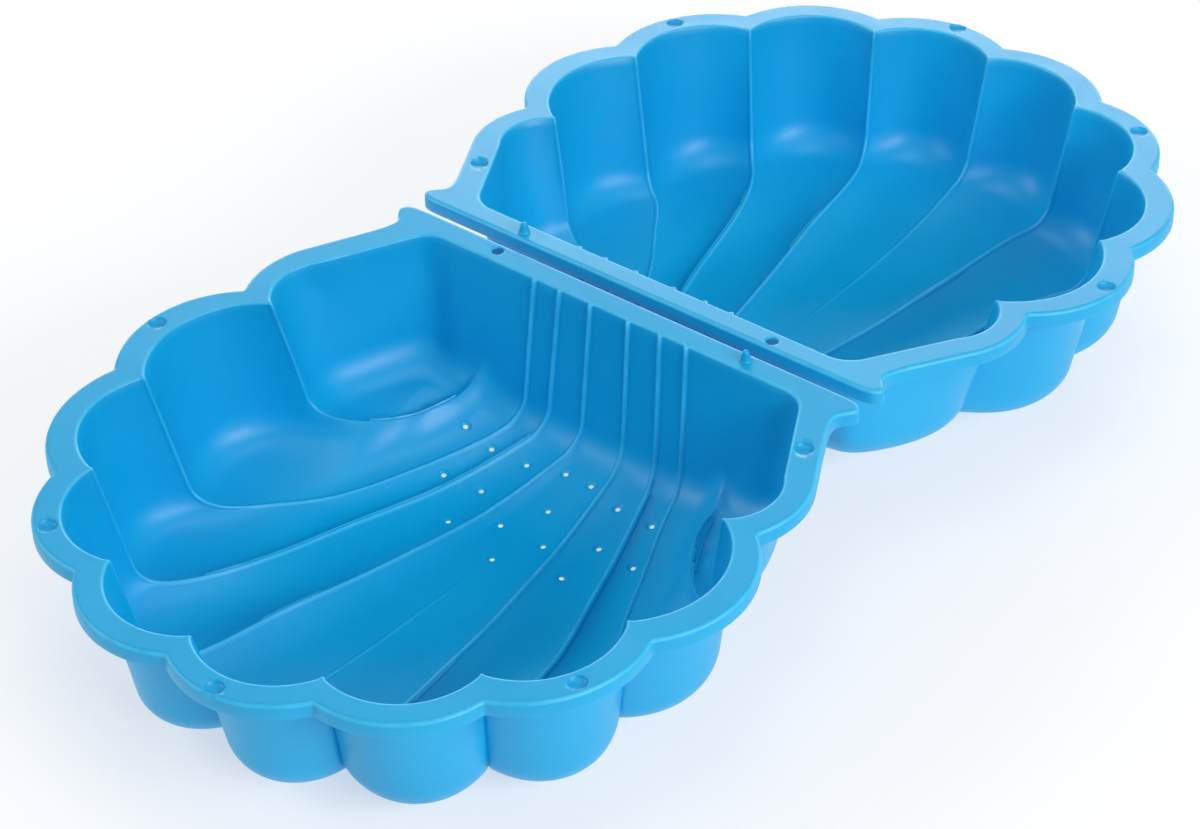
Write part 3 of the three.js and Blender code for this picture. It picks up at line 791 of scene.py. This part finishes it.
# ---------------------------------------------------------------- materials
def plastic(name, seed):
    """The moulding's satin blue plastic. The seed shifts its patterns."""
    material = bpy.data.materials.new(name)
    material.use_nodes = True
    tree = material.node_tree
    nodes, links = tree.nodes, tree.links
    shader = nodes["Principled BSDF"]
    place = nodes.new("ShaderNodeTexCoord")
    shift = nodes.new("ShaderNodeMapping")
    shift.inputs["Location"].default_value = (seed, seed * 0.7, seed * 0.3)
    links.new(place.outputs["Object"], shift.inputs["Vector"])

    def noise(scale, detail, rough):
        node = nodes.new("ShaderNodeTexNoise")
        node.inputs["Scale"].default_value = scale
        node.inputs["Detail"].default_value = detail
        node.inputs["Roughness"].default_value = rough
        links.new(shift.outputs["Vector"], node.inputs["Vector"])
        return node

    def ramp(source, stops):
        node = nodes.new("ShaderNodeValToRGB")
        node.color_ramp.elements[0].position, node.color_ramp.elements[0].color = stops[0]
        node.color_ramp.elements[1].position, node.color_ramp.elements[1].color = stops[-1]
        for position, colour in stops[1:-1]:
            node.color_ramp.elements.new(position).color = colour
        links.new(source, node.inputs["Fac"])
        return node

    # Slow variation of the blue, as a thick moulding has.
    cloud = noise(5.5, 3, 0.5)
    blue = ramp(cloud.outputs["Fac"], [
        (0.30, (0.0010, 0.370, 0.705, 1)),
        (0.70, (0.0020, 0.405, 0.745, 1)),
    ])
    # Painted highlight: the rim's rounded edges and the ridges' beads are paled, in patches, as a light line
    # along them.
    edges = nodes.new("ShaderNodeAttribute")
    edges.attribute_name = "painted_highlight"
    painted_highlight = ramp(edges.outputs["Fac"], [(0.25, (0, 0, 0, 1)), (0.95, (1, 1, 1, 1))])
    patchy = ramp(noise(32, 3, 0.6).outputs["Fac"], [(0.30, (0.55, 0.55, 0.55, 1)), (0.60, (1, 1, 1, 1))])
    pale = nodes.new("ShaderNodeMix")
    pale.data_type = "RGBA"
    pale.blend_type = "MIX"
    amount = nodes.new("ShaderNodeMath")
    amount.operation = "MULTIPLY"
    links.new(painted_highlight.outputs["Color"], amount.inputs[0])
    links.new(patchy.outputs["Color"], amount.inputs[1])
    links.new(amount.outputs[0], pale.inputs["Factor"])
    links.new(blue.outputs["Color"], pale.inputs["A"])
    # The paler blue of the painted highlight.
    pale.inputs["B"].default_value = (0.045, 0.52, 0.86, 1)
    links.new(pale.outputs["Result"], shader.inputs["Base Color"])

    # Satin skin: a fine pebble over a slow unevenness, and patches rubbed a little glossier.
    rubbed = noise(14, 4, 0.6)
    gloss = ramp(rubbed.outputs["Fac"], [(0.35, (0.37, 0.37, 0.37, 1)), (0.68, (0.46, 0.46, 0.46, 1))])
    links.new(gloss.outputs["Color"], shader.inputs["Roughness"])
    pebble = noise(950, 2, 0.5)
    wave = noise(9, 2, 0.4)
    fine = nodes.new("ShaderNodeBump")
    fine.inputs["Strength"].default_value = 0.10
    fine.inputs["Distance"].default_value = 0.0004
    links.new(pebble.outputs["Fac"], fine.inputs["Height"])
    slow = nodes.new("ShaderNodeBump")
    slow.inputs["Strength"].default_value = 0.10
    slow.inputs["Distance"].default_value = 0.006
    links.new(wave.outputs["Fac"], slow.inputs["Height"])
    links.new(fine.outputs["Normal"], slow.inputs["Normal"])
    links.new(slow.outputs["Normal"], shader.inputs["Normal"])
    shader.inputs["IOR"].default_value = 1.49
    # Sand has dulled the floor; the walls and the rim keep their sheen.
    height = nodes.new("ShaderNodeSeparateXYZ")
    links.new(place.outputs["Object"], height.inputs["Vector"])
    sheen = nodes.new("ShaderNodeMapRange")
    for socket, value in (("From Min", 0.004), ("From Max", 0.022), ("To Min", 0.08), ("To Max", 0.48)):
        sheen.inputs[socket].default_value = value
    links.new(height.outputs["Z"], sheen.inputs["Value"])
    links.new(sheen.outputs["Result"], shader.inputs["Specular IOR Level"])
    shader.inputs["Subsurface Weight"].default_value = 0.12
    shader.inputs["Subsurface Radius"].default_value = (0.002, 0.008, 0.016)
    shader.inputs["Subsurface Scale"].default_value = 1.0
    return material


for tray, peg, body, slot, seed, nodes_named in (
    (base, pegs[0], "base", "base_plastic", 0.0, ("base_tray", "base_peg")),
    (cover, pegs[1], "cover", "cover_plastic", 3.1, ("cover_tray", "cover_peg")),
):
    material = plastic(slot, seed)
    for piece, node in ((tray, nodes_named[0]), (peg, nodes_named[1])):
        piece.data.materials.clear()
        piece.data.materials.append(material)
        smooth(piece, SHARP_FROM)
        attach(piece, body)
        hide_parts(node)

# ---------------------------------------------------------------- floor and light
floor_mesh = bpy.data.meshes.new("floor")
floor_mesh.from_pydata([(-14, -10, 0), (10, -10, 0), (10, 14, 0), (-14, 14, 0)], [], [(0, 1, 2, 3)])
floor = bpy.data.objects.new("floor", floor_mesh)
floor.location.z = -0.0004
bpy.context.scene.collection.objects.link(floor)
pale_floor = bpy.data.materials.new("pale_floor")
pale_floor.use_nodes = True
skin = pale_floor.node_tree.nodes["Principled BSDF"]
skin.inputs["Base Color"].default_value = (0.46, 0.46, 0.46, 1)
skin.inputs["Roughness"].default_value = 0.9
skin.inputs["Specular IOR Level"].default_value = 0.05
skin.inputs["Emission Color"].default_value = (0.985, 0.99, 1, 1)
skin.inputs["Emission Strength"].default_value = 0.56
floor_mesh.materials.append(pale_floor)

world = bpy.data.worlds.new("studio")
bpy.context.scene.world = world
world.use_nodes = True
world.node_tree.nodes["Background"].inputs["Color"].default_value = (1, 1, 1, 1)
world.node_tree.nodes["Background"].inputs["Strength"].default_value = 0.29


def softbox(name, place, target, size, power):
    """A rectangular light that faces its target."""
    data = bpy.data.lights.new(name, "AREA")
    data.shape = "RECTANGLE"
    data.size, data.size_y = size
    data.energy = power
    light = bpy.data.objects.new(name, data)
    bpy.context.scene.collection.objects.link(light)
    light.location = place
    light.rotation_mode = "QUATERNION"
    light.rotation_quaternion = (Vector(target) - Vector(place)).to_track_quat("-Z", "Y")


softbox("key", (4.0, -0.6, 2.3), (0, 0, 0.1), (3.6, 1.4), 136)
softbox("fill", (-3.3, -2.4, 2.4), (0, 0, 0.1), (3.0, 2.0), 56)
softbox("overhead", (0, 0, 4.0), (0, 0, 0.1), (2.2, 2.2), 26)
softbox("rear", (-3.0, 4.2, 1.7), (0, 0.1, 0.2), (6.0, 1.7), 190)

bpy.context.scene.view_settings.view_transform = "Standard"
bpy.context.scene.view_settings.look = "None"
